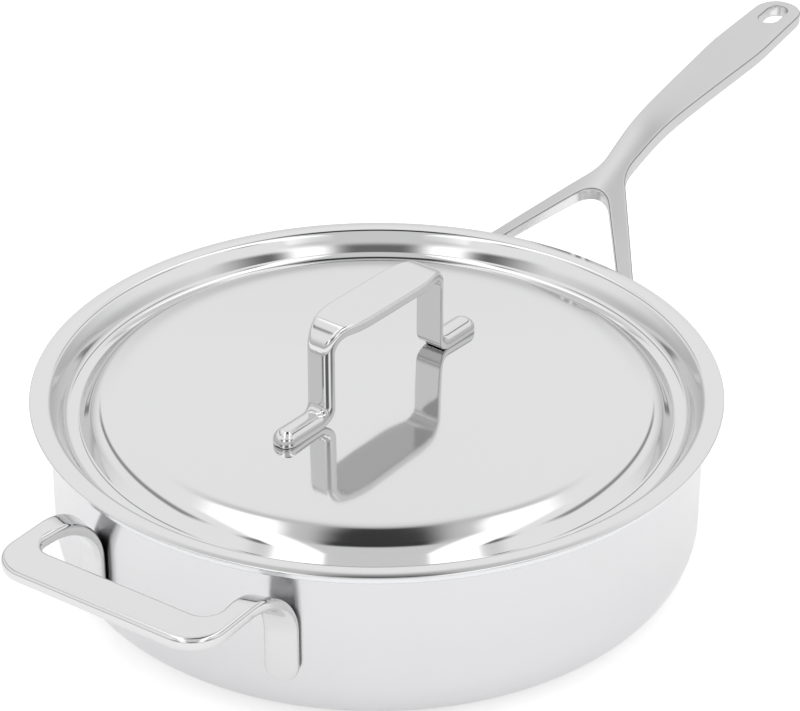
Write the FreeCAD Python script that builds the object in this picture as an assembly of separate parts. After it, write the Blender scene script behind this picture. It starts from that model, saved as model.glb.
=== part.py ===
import FreeCAD, Part
import math
import os

# Saute pan with a lid: a clad pan body, a forked long handle, a helper handle
# and a lid with a bridge handle. Lengths are in millimetres, angles in degrees.
# The origin is the centre of the resting face, X runs out along the long handle
# and Z points up.

Vector = FreeCAD.Vector

# Pan body, drawn on its cooking face and built up outwards ply by ply
INNER_DIAMETER = 280.0
CAVITY_DEPTH = 78.0
COOKING_STEEL = 0.6
ALUMINIUM_CORE = 1.8
OUTER_STEEL = 0.6
BASE_CORNER_RADIUS = 19.5
FLARE_RADIUS = 5.5
LIP_WIDTH = 6.2

# Edges and welded feet, shared by the long handle and the helper handle
HANDLE_EDGE_ROUND = 1.0
WELD_GAP = 0.3
FOOT_SPREAD = 48.0
FOOT_WIDTH = 13.3
FOOT_BOTTOM = 26.0
FOOT_THICKNESS = 4.6
WELD_DIAMETER = 6.0

# Long handle: a fork whose top face fans out from the grip down to the feet, with
# its runs counted outwards from the wall and its rise upwards from the rim
LEG_SPREAD = 48.0
LEG_WIDTH = 6.8
LEG_ANGLE = 36.0
CROTCH_ANGLE = 38.0
CROTCH_RADIUS = 12.0
LEG_RISE = 22.1
LEG_ROOT_RISE = 45.0
LEG_ROOT_RADIUS = 20.0
GRIP_RISE = 5.0
BEND_RUN = 83.7
BEND_RISE = 37.5
BEND_EASE = 13.8
FAN_SHARE = 0.68
FAN_EASE = 8.0
NECK_THICKNESS = 7.0
TIP_THICKNESS = 4.6
NECK_HALF_WIDTH = 7.0
NECK_RUN = 60.7
NECK_RADIUS = 20.0
GRIP_HALF_WIDTH = 13.8
GRIP_TO_TIP = 52.5
GRIP_SWELL_RADIUS = 150.0
TIP_HALF_WIDTH = 12.0
TIP_RADIUS = 11.4
HANDLE_LENGTH = 227.2
SLOT_LENGTH = 19.0
SLOT_WIDTH = 10.5
SLOT_TO_TIP = 5.5

# Helper handle
HELPER_DROP = 3.5
HELPER_THICKNESS = 5.6
HELPER_BEND_RADIUS = 28.0
HELPER_DEPTH = 53.2
HELPER_BAR_WIDTH = 18.5
HELPER_HALF_WIDTH = 55.0
HELPER_ARM_WIDTH = 9.5
HELPER_OUTER_CORNER = 19.0
HELPER_INNER_CORNER = 8.0

# Lid, drawn on its upper face
LID_SHEET = 1.0
LID_SEAT_GAP = 0.3
LID_OVERHANG = 2.1
LID_TURN = -3.7
FLANGE_WIDTH = 10.2
FLANGE_CROWN = 0.6
FLANGE_RADIUS = 24.0
GROOVE_DEPTH = 10.4
GROOVE_WALL_RUN = 5.0
GROOVE_FLOOR_WIDTH = 6.2
GROOVE_RADIUS = 3.0
SHOULDER_RUN = 7.0
SHOULDER_DROP = 1.6
SHOULDER_RADIUS = 7.0
CENTRE_DROP = 2.3
DOME_EDGE_RUN = 10.9
DOME_EDGE_DROP = 0.2
DOME_EDGE_RADIUS = 104.0
DOME_RUN = 28.0
DOME_RADIUS = 1500.0

# Bridge handle of the lid
BRIDGE_LENGTH = 134.0
BRIDGE_LEG_SPAN = 82.6
BRIDGE_HEIGHT = 46.7
BRIDGE_FOOT_THICKNESS = 7.4
BRIDGE_LEG_THICKNESS = 4.6
BRIDGE_TOP_THICKNESS = 4.6
BRIDGE_TOP_CORNER = 14.0
BRIDGE_FOOT_CORNER = 3.6
BRIDGE_END_WIDTH = 11.6
BRIDGE_TOP_WIDTH = 20.4
BRIDGE_TOP_LENGTH = 48.0
BRIDGE_TOP_RADIUS = 50.0
BRIDGE_NECK_RADIUS = 14.0
BRIDGE_NOSE_RADIUS = 5.2
BRIDGE_EDGE_ROUND = 1.5
BRIDGE_WELD_DIAMETER = 5.0
BRIDGE_WELD_SHARES = (0.25, 0.75)

# How far a cutting shape runs past what it cuts
OVERRUN = 5.0

# Largest slope of a side face that stands upright, as a share of one
SIDE_SHARE = 0.1

# Measured stations of the long handle's top face: their spacing along it and their
# count across it
STATION_SPACING = 7.6
STATIONS_ACROSS = 21

WALL = COOKING_STEEL + ALUMINIUM_CORE + OUTER_STEEL
INNER_RADIUS = INNER_DIAMETER / 2
OUTER_RADIUS = INNER_RADIUS + WALL
LIP_RADIUS = OUTER_RADIUS + LIP_WIDTH
RIM_HEIGHT = WALL + CAVITY_DEPTH
SEAT_RADIUS = OUTER_RADIUS + WELD_GAP
HANDLE_REACH = SEAT_RADIUS + HANDLE_LENGTH
GRIP_REACH = HANDLE_REACH - GRIP_TO_TIP
NECK_REACH = SEAT_RADIUS + NECK_RUN
BEND_REACH = SEAT_RADIUS + BEND_RUN
BEND_HEIGHT = RIM_HEIGHT + BEND_RISE
HELPER_REACH = SEAT_RADIUS + HELPER_DEPTH
HELPER_TOP = RIM_HEIGHT - HELPER_DROP
LID_RADIUS = LIP_RADIUS + LID_OVERHANG
FLANGE_HEIGHT = RIM_HEIGHT + LID_SEAT_GAP + LID_SHEET
CENTRE_HEIGHT = FLANGE_HEIGHT - CENTRE_DROP
BRIDGE_SEAT = CENTRE_HEIGHT + WELD_GAP
AXIS = Vector(0, 0, 1)
ORIGIN = Vector(0, 0, 0)


def flat(point):
    """Place a point of a plan outline in the XY plane."""
    return Vector(point[0], point[1], 0)


def upright(point):
    """Place a point of a side outline in the XZ plane."""
    return Vector(point[0], 0, point[1])


def polar(radius, angle):
    """Point of an outline at a radius and an angle in degrees."""
    turn = math.radians(angle)
    return (radius * math.cos(turn), radius * math.sin(turn))


def moved(point, angle, length):
    """Point reached from another by a length in a direction in degrees."""
    step = polar(length, angle)
    return (point[0] + step[0], point[1] + step[1])


def heading(start, end):
    """Direction in degrees from one point to the next."""
    return math.degrees(math.atan2(end[1] - start[1], end[0] - start[0]))


def turning(before, corner, after):
    """Signed turn in degrees at a corner of a path, left turns being positive."""
    return (heading(corner, after) - heading(before, corner) + 180) % 360 - 180


def crossing(point, angle, other, other_angle):
    """Point where two lines, each a point and a direction in degrees, cross."""
    ux, uy = polar(1, angle)
    vx, vy = polar(1, other_angle)
    dx = other[0] - point[0]
    dy = other[1] - point[1]
    return moved(point, angle, (dx * vy - dy * vx) / (ux * vy - uy * vx))


def shifted(points, distances):
    """Move each straight run of a path to its left by its own distance."""
    runs = []
    for start, end, distance in zip(points, points[1:], distances):
        angle = heading(start, end)
        runs.append((moved(start, angle + 90, distance), angle))
    result = [runs[0][0]]
    for (point, angle), (other, other_angle) in zip(runs, runs[1:]):
        result.append(crossing(point, angle, other, other_angle))
    result.append(moved(points[-1], runs[-1][1] + 90, distances[-1]))
    return result


def rounded_corner(before, corner, after, radius):
    """Start, middle and end of the arc that rounds a corner of a path."""
    turn = turning(before, corner, after)
    reach = radius * math.tan(math.radians(abs(turn)) / 2)
    start = moved(corner, heading(before, corner), -reach)
    end = moved(corner, heading(corner, after), reach)
    side = 90 if turn > 0 else -90
    centre = moved(start, heading(before, corner) + side, radius)
    middle = moved(centre, heading(centre, corner), radius)
    return start, middle, end


def path_edges(points, radii, place):
    """Edges of an open path whose inner corners are rounded by the radii."""
    edges = []
    here = points[0]
    for before, corner, after, radius in zip(points, points[1:], points[2:], radii):
        start, middle, end = rounded_corner(before, corner, after, radius)
        edges.append(Part.LineSegment(place(here), place(start)).toShape())
        edges.append(Part.Arc(place(start), place(middle), place(end)).toShape())
        here = end
    edges.append(Part.LineSegment(place(here), place(points[-1])).toShape())
    return edges


def sheet_face(points, radii, near, far):
    """Side face between a path moved left by the near and by the far distances."""
    edges = []
    ends = []
    for distances in (near, far):
        corners = shifted(points, distances)
        rounds = []
        for index, radius in enumerate(radii):
            step = min(distances[index], distances[index + 1], key=abs)
            left = turning(*points[index:index + 3]) > 0
            rounds.append(radius - step if left else radius + step)
        edges.extend(path_edges(corners, rounds, upright))
        ends.append((upright(corners[0]), upright(corners[-1])))
    for start, end in zip(*ends):
        edges.append(Part.LineSegment(start, end).toShape())
    return Part.Face(Part.Wire(Part.__sortEdges__(edges)))


def closed_face(corners, place):
    """Face inside a closed outline of corners, each with its rounding radius."""
    count = len(corners)
    edges = []
    ends = []
    for index, (x, y, radius) in enumerate(corners):
        before = corners[index - 1][:2]
        after = corners[(index + 1) % count][:2]
        start, middle, end = rounded_corner(before, (x, y), after, radius)
        if radius:
            edges.append(Part.Arc(place(start), place(middle), place(end)).toShape())
        ends.append((place(start), place(end)))
    for index in range(count):
        edges.append(Part.LineSegment(ends[index - 1][1], ends[index][0]).toShape())
    return Part.Face(Part.Wire(Part.__sortEdges__(edges)))


def mirrored(corners):
    """The other half of a plan outline that is the same on both sides of X."""
    return [(x, -y, radius) for x, y, radius in reversed(corners)]


def standing(face, bottom, top):
    """Solid of a plan face between two heights."""
    solid = face.extrude(Vector(0, 0, top - bottom))
    solid.translate(Vector(0, 0, bottom))
    return solid


def spun(face):
    """Solid of a side face turned once about the pan's axis."""
    return face.revolve(ORIGIN, AXIS, 360)


def disc(radius, bottom, top):
    """Upright cylinder on the pan's axis."""
    return Part.makeCylinder(radius, top - bottom, Vector(0, 0, bottom))


def radial_rod(diameter, angle, height, inner, outer):
    """Cylinder that lies along a radius of the pan."""
    x, y = polar(inner, angle)
    direction = flat(polar(1, angle))
    return Part.makeCylinder(diameter / 2, outer - inner, Vector(x, y, height), direction)


def only_solid(shape):
    """The one solid that the cuts leave, with its split faces joined again."""
    return shape.removeSplitter().Solids[0]


def rim_edges(solid, broad):
    """Edges at which faces of a solid that pass a test turn sharply into side faces."""
    edges = []
    for edge in solid.Edges:
        sides = [face for face in solid.ancestorsOfType(edge, Part.Face) if not broad(face)]
        middle = edge.valueAt((edge.FirstParameter + edge.LastParameter) / 2)
        if len(sides) == 1 and is_side(sides[0], middle):
            edges.append(edge)
    return edges


def is_side(face, point):
    """Whether a face stands upright at a point and runs away from the wall."""
    normal = face.normalAt(*face.Surface.parameter(point))
    outward = Vector(point.x, point.y, 0).normalize()
    return abs(normal.z) < SIDE_SHARE and abs(normal.dot(outward)) < 1 - SIDE_SHARE


def is_forged(face):
    """Whether a face of the long handle is part of its smooth top or under face."""
    return isinstance(face.Surface, Part.BSplineSurface)


def is_helper_top(face):
    """Whether a face of the helper handle is its level upper face."""
    return face.BoundBox.ZMin > HELPER_TOP - HELPER_THICKNESS / 2


def body_path():
    """Cooking face of the pan in its side view, from the axis out to the lip."""
    wall = [(INNER_RADIUS, WALL), (INNER_RADIUS, RIM_HEIGHT)]
    return [(0, WALL), *wall, (LIP_RADIUS, RIM_HEIGHT)]


def ply(depth, thickness):
    """One bonded layer that starts at a depth under the cooking face."""
    radii = [BASE_CORNER_RADIUS, FLARE_RADIUS]
    near = [-depth] * 3
    far = [-depth - thickness] * 3
    return spun(sheet_face(body_path(), radii, near, far))


def wall_angle(spread):
    """Angle on the wall at which a foot stands whose middle is spread from X."""
    return math.degrees(math.asin(spread / SEAT_RADIUS))


def foot_mask(spread, width, top):
    """Space that rounds off the lower ends of a handle's two feet."""
    middle = FOOT_BOTTOM + width / 2
    keep = disc(HANDLE_REACH + OVERRUN, middle, top)
    for angle in (wall_angle(spread), -wall_angle(spread)):
        rod = radial_rod(width, angle, middle, INNER_RADIUS, SEAT_RADIUS + LIP_WIDTH + OVERRUN)
        keep = keep.fuse(rod)
    return keep


def foot_welds(spread, high, about):
    """Weld nuggets that hold a handle's two feet to the wall, two to a foot."""
    low = FOOT_BOTTOM + WELD_DIAMETER
    ring = disc(SEAT_RADIUS, 0, RIM_HEIGHT).cut(disc(OUTER_RADIUS, 0, RIM_HEIGHT))
    nuggets = []
    for angle in (about + wall_angle(spread), about - wall_angle(spread)):
        for height in (low, high):
            rod = radial_rod(WELD_DIAMETER, angle, height, INNER_RADIUS, SEAT_RADIUS + OVERRUN)
            nuggets.extend(rod.common(ring).Solids)
    return Part.makeCompound(nuggets)


def handle_height(x, y):
    """Height of the long handle's top face: two slopes joined by a smooth bend,
    along lines that fan out from the grip to the two feet."""
    fan = FAN_SHARE * (math.hypot(y, FAN_EASE) - FAN_EASE)
    along = x - fan - BEND_REACH
    leg = math.tan(math.radians(LEG_RISE))
    grip = math.tan(math.radians(GRIP_RISE))
    bend = math.hypot(along, BEND_EASE)
    return BEND_HEIGHT + (leg + grip) / 2 * along - (leg - grip) / 2 * bend


def handle_thickness(x):
    """Upright thickness of the long handle, which thins from the neck to both ends."""
    if x < NECK_REACH:
        end, thickness = SEAT_RADIUS, FOOT_THICKNESS
    else:
        end, thickness = HANDLE_REACH, TIP_THICKNESS
    share = (x - NECK_REACH) / (end - NECK_REACH)
    return NECK_THICKNESS + share * (thickness - NECK_THICKNESS)


def handle_surface(depth_share):
    """Smooth surface of the long handle, wider than its plan: its top face where the
    share of the thickness is 0, and its under face where it is 1."""
    start = polar(INNER_RADIUS, 2 * wall_angle(LEG_SPREAD))[0]
    length = HANDLE_REACH + OVERRUN - start
    half = LEG_SPREAD + FOOT_WIDTH + OVERRUN
    steps = math.ceil(length / STATION_SPACING)
    rows = []
    for i in range(steps + 1):
        x = start + length * i / steps
        row = []
        for j in range(STATIONS_ACROSS):
            y = half * (2 * j / (STATIONS_ACROSS - 1) - 1)
            z = handle_height(x, y) - depth_share * handle_thickness(x)
            row.append(Vector(x, y, z))
        rows.append(row)
    surface = Part.BSplineSurface()
    surface.interpolate(rows)
    return surface.toShape()


def handle_plan():
    """Plan of the long handle: a swelling grip, a neck and two spread legs."""
    wall_point = polar(SEAT_RADIUS, wall_angle(LEG_SPREAD))
    outer = moved(wall_point, 90 - LEG_ANGLE, LEG_WIDTH / 2)
    inner = moved(wall_point, -90 - LEG_ANGLE, LEG_WIDTH / 2)
    swell = heading((NECK_REACH, NECK_HALF_WIDTH), (GRIP_REACH, GRIP_HALF_WIDTH))
    neck = crossing(outer, -LEG_ANGLE, (GRIP_REACH, GRIP_HALF_WIDTH), swell)
    inside = -(WALL + OVERRUN)
    half = [
        (*moved(inner, -CROTCH_ANGLE, inside), 0),
        (*moved(outer, -LEG_ANGLE, inside), 0),
        (*neck, NECK_RADIUS),
        (GRIP_REACH, GRIP_HALF_WIDTH, GRIP_SWELL_RADIUS),
        (HANDLE_REACH, TIP_HALF_WIDTH, TIP_RADIUS),
    ]
    crotch = (*crossing(inner, -CROTCH_ANGLE, (0, 0), 0), CROTCH_RADIUS)
    return closed_face(half + mirrored(half) + [crotch], flat)


def leg_root():
    """Height at which the top face of a leg would meet the wall."""
    return handle_height(*polar(SEAT_RADIUS, wall_angle(LEG_SPREAD)))


def leg_foot_width():
    """Width of a leg where it lies on the wall, which it meets at a slant."""
    return LEG_WIDTH / math.cos(math.radians(LEG_ANGLE + wall_angle(LEG_SPREAD)))


def root_space(top):
    """Space outside the wall, eased where a handle bends away from it."""
    root = (SEAT_RADIUS, leg_root())
    rise = crossing(root, LEG_ROOT_RISE, (0, top), 0)
    far = HANDLE_REACH + OVERRUN
    corners = [
        (SEAT_RADIUS, 0, 0),
        (*root, LEG_ROOT_RADIUS),
        (*rise, 0),
        (far, top, 0),
        (far, 0, 0),
    ]
    return spun(closed_face(corners, upright))


def hanging_slot(top):
    """Cutter of the round-ended slot near the tip of the long handle."""
    far = HANDLE_REACH - SLOT_TO_TIP
    near = far - SLOT_LENGTH
    radius = SLOT_WIDTH / 2
    half = [(near, radius, radius), (far, radius, radius)]
    return standing(closed_face(half + mirrored(half), flat), 0, top)


def long_handle():
    """Forged long handle: grip, fork and two feet that lie on the wall."""
    top = handle_height(HANDLE_REACH, 0) + OVERRUN
    down = Vector(0, 0, -top)
    blank = standing(handle_plan(), 0, top).common(handle_surface(0).extrude(down))
    skirt = disc(SEAT_RADIUS + FOOT_THICKNESS, -top, top)
    blank = blank.cut(handle_surface(1).extrude(down).cut(skirt))
    blank = blank.common(root_space(top)).common(foot_mask(LEG_SPREAD, leg_foot_width(), top))
    handle = only_solid(blank.cut(hanging_slot(top)))
    return handle.makeFillet(HANDLE_EDGE_ROUND, rim_edges(handle, is_forged))


def helper_plan():
    """Plan of the helper handle: a loop with two arms and a broad cross bar."""
    foot_x = polar(SEAT_RADIUS, wall_angle(FOOT_SPREAD))[0]
    outer = (foot_x, FOOT_SPREAD + FOOT_WIDTH / 2)
    inner = (foot_x, FOOT_SPREAD - FOOT_WIDTH / 2)
    bar = HELPER_REACH - HELPER_BAR_WIDTH
    inner_corner = (bar, HELPER_HALF_WIDTH - HELPER_ARM_WIDTH)
    outer_corner = (HELPER_REACH, HELPER_HALF_WIDTH)
    inside = -(WALL + OVERRUN)
    half = [
        (*inner_corner, HELPER_INNER_CORNER),
        (*moved(inner, heading(inner, inner_corner), inside), 0),
        (*moved(outer, heading(outer, outer_corner), inside), 0),
        (*outer_corner, HELPER_OUTER_CORNER),
    ]
    return closed_face(half + mirrored(half), flat)


def helper_handle():
    """Bent loop handle opposite the long one, with two feet on the wall."""
    path = [(SEAT_RADIUS, 0), (SEAT_RADIUS, HELPER_TOP), (HELPER_REACH + OVERRUN, HELPER_TOP)]
    far = [-FOOT_THICKNESS, -HELPER_THICKNESS]
    strap = spun(sheet_face(path, [HELPER_BEND_RADIUS], [0, 0], far))
    top = HELPER_TOP + OVERRUN
    width = FOOT_WIDTH / math.cos(math.radians(wall_angle(FOOT_SPREAD)))
    loop = strap.common(standing(helper_plan(), 0, top))
    loop = loop.common(foot_mask(FOOT_SPREAD, width, top))
    loop.rotate(ORIGIN, AXIS, 180)
    loop = only_solid(loop)
    return loop.makeFillet(HANDLE_EDGE_ROUND, rim_edges(loop, is_helper_top))


def lid_path():
    """Upper face of the lid in its side view, from the axis out to the edge."""
    flange = LID_RADIUS - FLANGE_WIDTH
    floor_outer = flange - GROOVE_WALL_RUN
    floor_inner = floor_outer - GROOVE_FLOOR_WIDTH
    shoulder = floor_inner - SHOULDER_RUN
    dome_edge = shoulder - DOME_EDGE_RUN
    floor = FLANGE_HEIGHT - GROOVE_DEPTH
    return [
        (0, CENTRE_HEIGHT),
        (dome_edge - DOME_RUN, CENTRE_HEIGHT),
        (dome_edge, CENTRE_HEIGHT - DOME_EDGE_DROP),
        (shoulder, CENTRE_HEIGHT - SHOULDER_DROP),
        (floor_inner, floor),
        (floor_outer, floor),
        (flange, FLANGE_HEIGHT),
        (LID_RADIUS - FLANGE_WIDTH / 2, FLANGE_HEIGHT + FLANGE_CROWN),
        (LID_RADIUS, FLANGE_HEIGHT),
    ]


def lid_shell():
    """Pressed lid: a flange that rests on the lip, a locating groove and a centre."""
    groove = GROOVE_RADIUS + LID_SHEET
    dome = [DOME_RADIUS, DOME_EDGE_RADIUS, SHOULDER_RADIUS]
    radii = dome + [GROOVE_RADIUS, groove, GROOVE_RADIUS, FLANGE_RADIUS]
    path = lid_path()
    runs = len(path) - 1
    return spun(sheet_face(path, radii, [0] * runs, [-LID_SHEET] * runs))


def bridge_side():
    """Side face of the bridge handle: two feet, two legs and a raised top."""
    foot_top = BRIDGE_SEAT + BRIDGE_FOOT_THICKNESS
    top = BRIDGE_SEAT + BRIDGE_HEIGHT
    end = BRIDGE_LENGTH / 2
    leg = BRIDGE_LEG_SPAN / 2
    half = [(end, foot_top), (leg, foot_top), (leg, top)]
    path = half + [(-x, z) for x, z in reversed(half)]
    radii = [BRIDGE_FOOT_CORNER, BRIDGE_TOP_CORNER]
    sides = [BRIDGE_FOOT_THICKNESS, BRIDGE_LEG_THICKNESS]
    far = sides + [BRIDGE_TOP_THICKNESS] + sides[::-1]
    return sheet_face(path, radii + radii[::-1], [0] * len(far), far)


def bridge_plan():
    """Plan of the bridge handle: bullet noses, slim legs and a broad top."""
    end = BRIDGE_LENGTH / 2
    leg = BRIDGE_LEG_SPAN / 2
    slim = BRIDGE_END_WIDTH / 2
    quarter = [
        (end, slim, BRIDGE_NOSE_RADIUS),
        (leg, slim, BRIDGE_NECK_RADIUS),
        (BRIDGE_TOP_LENGTH / 2, BRIDGE_TOP_WIDTH / 2, BRIDGE_TOP_RADIUS),
    ]
    half = quarter + [(-x, y, radius) for x, y, radius in reversed(quarter)]
    return closed_face(half + mirrored(half), flat)


def bridge_handle():
    """Handle that stands across the middle of the lid on two welded feet."""
    half = BRIDGE_TOP_WIDTH / 2 + OVERRUN
    side = bridge_side().extrude(Vector(0, 2 * half, 0))
    side.translate(Vector(0, -half, 0))
    plan = standing(bridge_plan(), 0, BRIDGE_SEAT + BRIDGE_HEIGHT + OVERRUN)
    bridge = only_solid(side.common(plan))
    return bridge.makeFillet(BRIDGE_EDGE_ROUND, bridge.Edges)


def bridge_welds():
    """Weld nuggets under the two feet of the bridge handle, two to a foot."""
    start = BRIDGE_LEG_SPAN / 2
    length = BRIDGE_LENGTH / 2 - start
    nuggets = []
    for side in (1, -1):
        for share in BRIDGE_WELD_SHARES:
            place = Vector(side * (start + length * share), 0, CENTRE_HEIGHT)
            nuggets.append(Part.makeCylinder(BRIDGE_WELD_DIAMETER / 2, WELD_GAP, place))
    return Part.makeCompound(nuggets)


def build():
    """Every node of the part by name."""
    core_depth = COOKING_STEEL
    shell_depth = core_depth + ALUMINIUM_CORE
    leg_weld = leg_root() - LEG_ROOT_RADIUS
    helper_weld = HELPER_TOP - HELPER_BEND_RADIUS - WELD_DIAMETER
    nodes = {
        "cooking_surface": ply(0, COOKING_STEEL),
        "aluminium_core": ply(core_depth, ALUMINIUM_CORE),
        "outer_shell": ply(shell_depth, OUTER_STEEL),
        "long_handle": long_handle(),
        "long_handle_welds": foot_welds(LEG_SPREAD, leg_weld, 0),
        "helper_handle": helper_handle(),
        "helper_handle_welds": foot_welds(FOOT_SPREAD, helper_weld, 180),
        "lid_shell": lid_shell(),
        "lid_handle": bridge_handle(),
        "lid_handle_welds": bridge_welds(),
    }
    for name in ("lid_handle", "lid_handle_welds"):
        nodes[name].rotate(ORIGIN, AXIS, LID_TURN)
    return nodes


os.makedirs("parts", exist_ok=True)
for node, shape in build().items():
    shape.exportStep("parts/" + node + ".step")
    print(node, len(shape.Solids), "solid", round(shape.Volume), "mm3")
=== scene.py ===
import logging
import math
from dataclasses import dataclass
from enum import Enum
from functools import reduce
from typing import ClassVar, Sequence, Union

import bmesh
import bpy
import numpy as np
from mathutils import Matrix, Vector


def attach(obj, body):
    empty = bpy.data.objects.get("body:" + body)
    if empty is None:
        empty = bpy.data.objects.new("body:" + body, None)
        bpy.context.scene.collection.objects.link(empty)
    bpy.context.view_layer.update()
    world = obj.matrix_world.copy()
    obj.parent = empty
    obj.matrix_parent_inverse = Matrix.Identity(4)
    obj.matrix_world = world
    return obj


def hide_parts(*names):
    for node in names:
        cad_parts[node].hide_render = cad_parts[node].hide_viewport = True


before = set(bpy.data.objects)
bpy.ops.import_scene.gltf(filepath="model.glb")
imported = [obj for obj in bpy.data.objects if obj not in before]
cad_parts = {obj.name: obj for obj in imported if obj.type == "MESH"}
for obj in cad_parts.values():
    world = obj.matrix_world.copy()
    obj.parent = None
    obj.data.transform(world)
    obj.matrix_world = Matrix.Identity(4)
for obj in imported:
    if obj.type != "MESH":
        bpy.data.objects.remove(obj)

# Saute pan with lid: surfaces, steel finishes, studio and camera.
# Lengths are in millimetres until a mesh is made, angles in degrees.

LOG = logging.getLogger("saute_pan")
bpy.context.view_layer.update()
METRE = 0.001
MERGE_DISTANCE = 0.002
TINY = 1e-12
ON_AXIS = 1e-9
# Largest steps in degrees along broad arcs, sheet edges and outlines
ARC_STEP, EDGE_STEP, FINE_STEP = 5.0, 15.0, 1.0
# Keeps the two arcs of a half round end apart
END_SLACK = 0.01
Array = np.ndarray
Colour = tuple[float, float, float]
Socket = bpy.types.NodeSocket
Feed = Union[Socket, float, tuple]


class Body(Enum):
    """Bodies of the frame that pieces ride on."""

    PAN = "pan"
    LID = "lid"


class Grain(Enum):
    """Direction in which a steel surface was finished."""

    SPUN = "spun round the axis"
    DRAWN = "drawn along the handle"


# Shared geometry

def unit(vectors: Array) -> Array:
    """Vectors scaled to length one along their last axis."""
    return vectors / np.maximum(np.linalg.norm(vectors, axis=-1, keepdims=True), TINY)


def smooth_step(share: Array) -> Array:
    """Share clipped to 0 to 1 and eased at both ends, 3t squared less 2t cubed."""
    t = np.clip(share, 0, 1)
    return t * t * (3 - 2 * t)


def rounded_path(corners: Sequence, radii: Sequence[float], arc_step: float = ARC_STEP) -> Array:
    """Open path whose inner corners are replaced by arcs.

    Each arc touches both runs at radius times the tangent of half the turn from the
    corner, and is stepped evenly in angle.

    Args:
        corners: Corner points of the path, two numbers each.
        radii: One radius for each inner corner.
        arc_step: Largest step along an arc, in degrees.

    Returns:
        Points of the path, one row each.
    """
    points = np.asarray(corners, float)
    runs = [points[:1]]
    for before, corner, after, radius in zip(points, points[1:], points[2:], radii):
        come, leave = unit(corner - before), unit(after - corner)
        turn = math.atan2(come[0] * leave[1] - come[1] * leave[0], come @ leave)
        side = np.array([-come[1], come[0]]) * np.sign(turn)
        start = corner - come * radius * math.tan(abs(turn) / 2)
        count = max(3, math.ceil(math.degrees(abs(turn)) / arc_step) + 1)
        angle = np.linspace(0, abs(turn), count)[:, None]
        runs.append(start + radius * (side * (1 - np.cos(angle)) + come * np.sin(angle)))
    runs.append(points[-1:])
    return np.concatenate(runs)


def offset_corners(corners: Array, distance: float) -> Array:
    """Corners of a path moved to its left by a distance.

    Inner corners move along the mitre: the sum of both run normals over one plus their
    dot product.

    Args:
        corners: Corner points of the path.
        distance: Distance to the left, negative for the right.

    Returns:
        The moved corners.
    """
    runs = unit(np.diff(corners, axis=0))
    normals = np.stack([-runs[:, 1], runs[:, 0]], axis=1)
    dots = (normals[:-1] * normals[1:]).sum(axis=1, keepdims=True)
    mitres = (normals[:-1] + normals[1:]) / (1 + dots)
    return corners + distance * np.concatenate([normals[:1], mitres, normals[-1:]])


def offset_path(corners: Array, radii: Sequence[float], distance: float, arc_step: float) -> Array:
    """Rounded path moved to its left by a distance, its arcs keeping their centres."""
    runs = np.diff(corners, axis=0)
    turns = np.sign(runs[:-1, 0] * runs[1:, 1] - runs[:-1, 1] * runs[1:, 0])
    return rounded_path(offset_corners(corners, distance), np.asarray(radii) - turns * distance, arc_step)


def sheet_profile(path: Array, radii: Sequence[float], start: float, thickness: float,
                  edges: Sequence[float], arc_step: float = ARC_STEP) -> Array:
    """Closed side profile of a sheet between two depths to the right of a path.

    Args:
        path: Corners of the path (r, z), from the axis outwards.
        radii: One radius for each inner corner.
        start: Depth of the sheet's upper face.
        thickness: Thickness of the sheet.
        edges: Rounding of the upper and the lower edge at its end.
        arc_step: Largest step along an arc, in degrees.

    Returns:
        Profile from the axis along the upper face, round the edge and back.
    """
    upper = offset_path(path, radii, -start, arc_step)
    lower = offset_path(path, radii, -start - thickness, arc_step)
    edge = rounded_path([upper[-2], upper[-1], lower[-1], lower[-2]], edges, EDGE_STEP)[1:-1]
    return np.concatenate([upper[:-1], edge, lower[-2::-1]])


def spin(profile: Array, count: int) -> Array:
    """Surface of a side profile turned once about Z.

    A profile point (r, z) at turn t becomes (r cos t, r sin t, z).

    Args:
        profile: Points (r, z).
        count: Steps round the axis.

    Returns:
        Grid of points, with the first column repeated as the last.
    """
    turn = np.linspace(0, 2 * np.pi, count + 1)
    turn[-1] = 0
    radius, height = profile[:, :1], profile[:, 1:]
    ones = np.ones_like(turn)
    return np.stack([radius * np.cos(turn), radius * np.sin(turn), height * ones], axis=-1)


def mirrored(grids: Sequence[Array], axis: int) -> list[Array]:
    """Grids together with their mirror images across the plane of one axis."""
    flip = np.ones(3)
    flip[axis] = -1
    return [*grids, *(grid * flip for grid in grids)]


def turned(grid: Array, angle: float) -> Array:
    """Grid turned about Z by an angle in degrees."""
    c, s = math.cos(math.radians(angle)), math.sin(math.radians(angle))
    return grid @ np.array([[c, s, 0], [-s, c, 0], [0, 0, 1]])


def set_even_normals(mesh: bpy.types.Mesh) -> None:
    """Shade smoothly with vertex normals that are face normals weighted by area, so that
    flats stay flat and narrow rounded edges take all of the turn."""
    count = len(mesh.polygons)
    normals, areas, totals = np.empty(count * 3), np.empty(count), np.empty(count, int)
    corners = np.empty(len(mesh.loops), int)
    for name, values in (("normal", normals), ("area", areas), ("loop_total", totals)):
        mesh.polygons.foreach_get(name, values)
    mesh.loops.foreach_get("vertex_index", corners)
    pushes = normals.reshape(-1, 3) * areas[:, None]
    sums = np.zeros((len(mesh.vertices), 3))
    np.add.at(sums, corners, np.repeat(pushes, totals, axis=0))
    mesh.polygons.foreach_set("use_smooth", np.ones(count, bool))
    mesh.normals_split_custom_set_from_vertices(unit(sums).tolist())


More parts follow.
